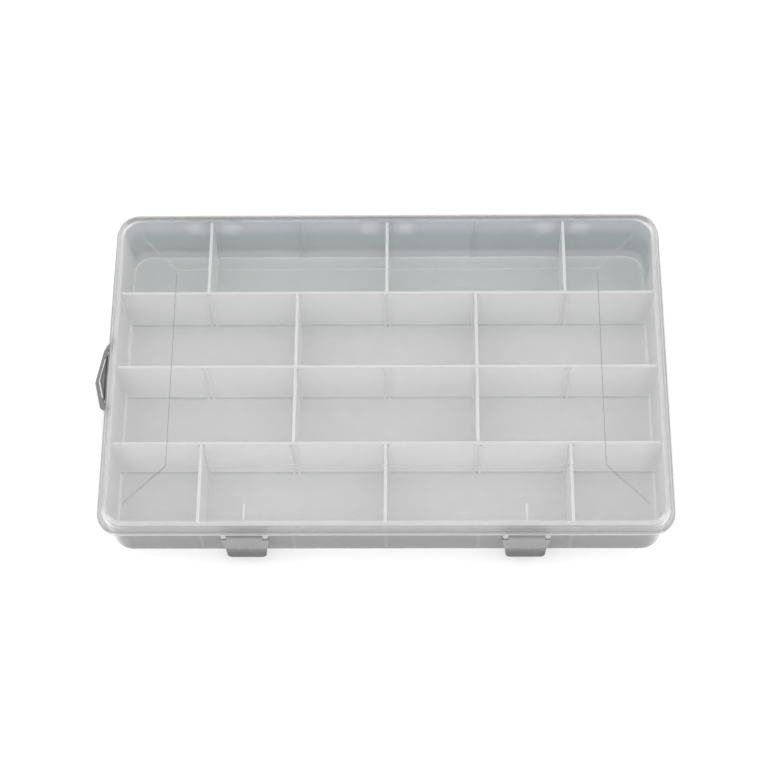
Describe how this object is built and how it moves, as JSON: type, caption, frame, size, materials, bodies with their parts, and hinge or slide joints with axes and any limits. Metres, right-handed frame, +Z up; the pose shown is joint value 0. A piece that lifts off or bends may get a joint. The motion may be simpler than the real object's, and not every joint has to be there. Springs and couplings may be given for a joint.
{
  "type": "tackle box",
  "caption": "Flat translucent tackle box with a hinged lid, snap latches on the front, a side hanger and an open tray split by long partitions and short lift-out dividers.",
  "frame": {"origin": "centre of the underside of the tray, on the surface it stands on", "axes": "+X along the long side, to the right seen from the latches; +Y to the hinge side; +Z up through the lid"},
  "size_m": [0.3652, 0.2302, 0.048],
  "materials": {
    "tray_plastic": "translucent natural polypropylene, fine satin outside",
    "lid_plastic": "clear to slightly hazy, glossy",
    "divider_plastic": "translucent natural polypropylene, satin",
    "latch_plastic": "translucent grey, satin",
    "hanger_plastic": "translucent natural polypropylene, satin",
    "pin_plastic": "natural plastic rod"
  },
  "bodies": {
    "tray": {"base_tray": "tray_plastic", "divider_back_left": "divider_plastic", "divider_back_middle": "divider_plastic", "divider_back_right": "divider_plastic", "divider_upper_left": "divider_plastic", "divider_upper_right": "divider_plastic", "divider_lower_left": "divider_plastic", "divider_lower_right": "divider_plastic", "divider_front_left": "divider_plastic", "divider_front_middle": "divider_plastic", "divider_front_right": "divider_plastic", "hinge_pin_left": "pin_plastic", "hinge_pin_middle": "pin_plastic", "hinge_pin_right": "pin_plastic", "hanger_pin_front": "pin_plastic", "hanger_pin_back": "pin_plastic"},
    "lid": {"lid": "lid_plastic", "latch_pin_left": "pin_plastic", "latch_pin_right": "pin_plastic"},
    "latch_left": {"latch_left": "latch_plastic"},
    "latch_right": {"latch_right": "latch_plastic"},
    "hanger": {"side_hanger": "hanger_plastic"}
  },
  "joints": [
    {"name": "lid_hinge", "type": "hinge", "parent": "tray", "child": "lid", "pos_m": [0, 0.112, 0.036], "axis": [-1, 0, 0], "range_deg": [0, 180]},
    {"name": "latch_left_hinge", "type": "hinge", "parent": "lid", "child": "latch_left", "pos_m": [-0.0865, -0.1126, 0.037], "axis": [-1, 0, 0], "range_deg": [0, 110]},
    {"name": "latch_right_hinge", "type": "hinge", "parent": "lid", "child": "latch_right", "pos_m": [0.0865, -0.1126, 0.037], "axis": [-1, 0, 0], "range_deg": [0, 110]},
    {"name": "hanger_hinge", "type": "hinge", "parent": "tray", "child": "hanger", "pos_m": [-0.1759, 0, 0.033], "axis": [0, 1, 0], "range_deg": [-45, 45]}
  ]
}
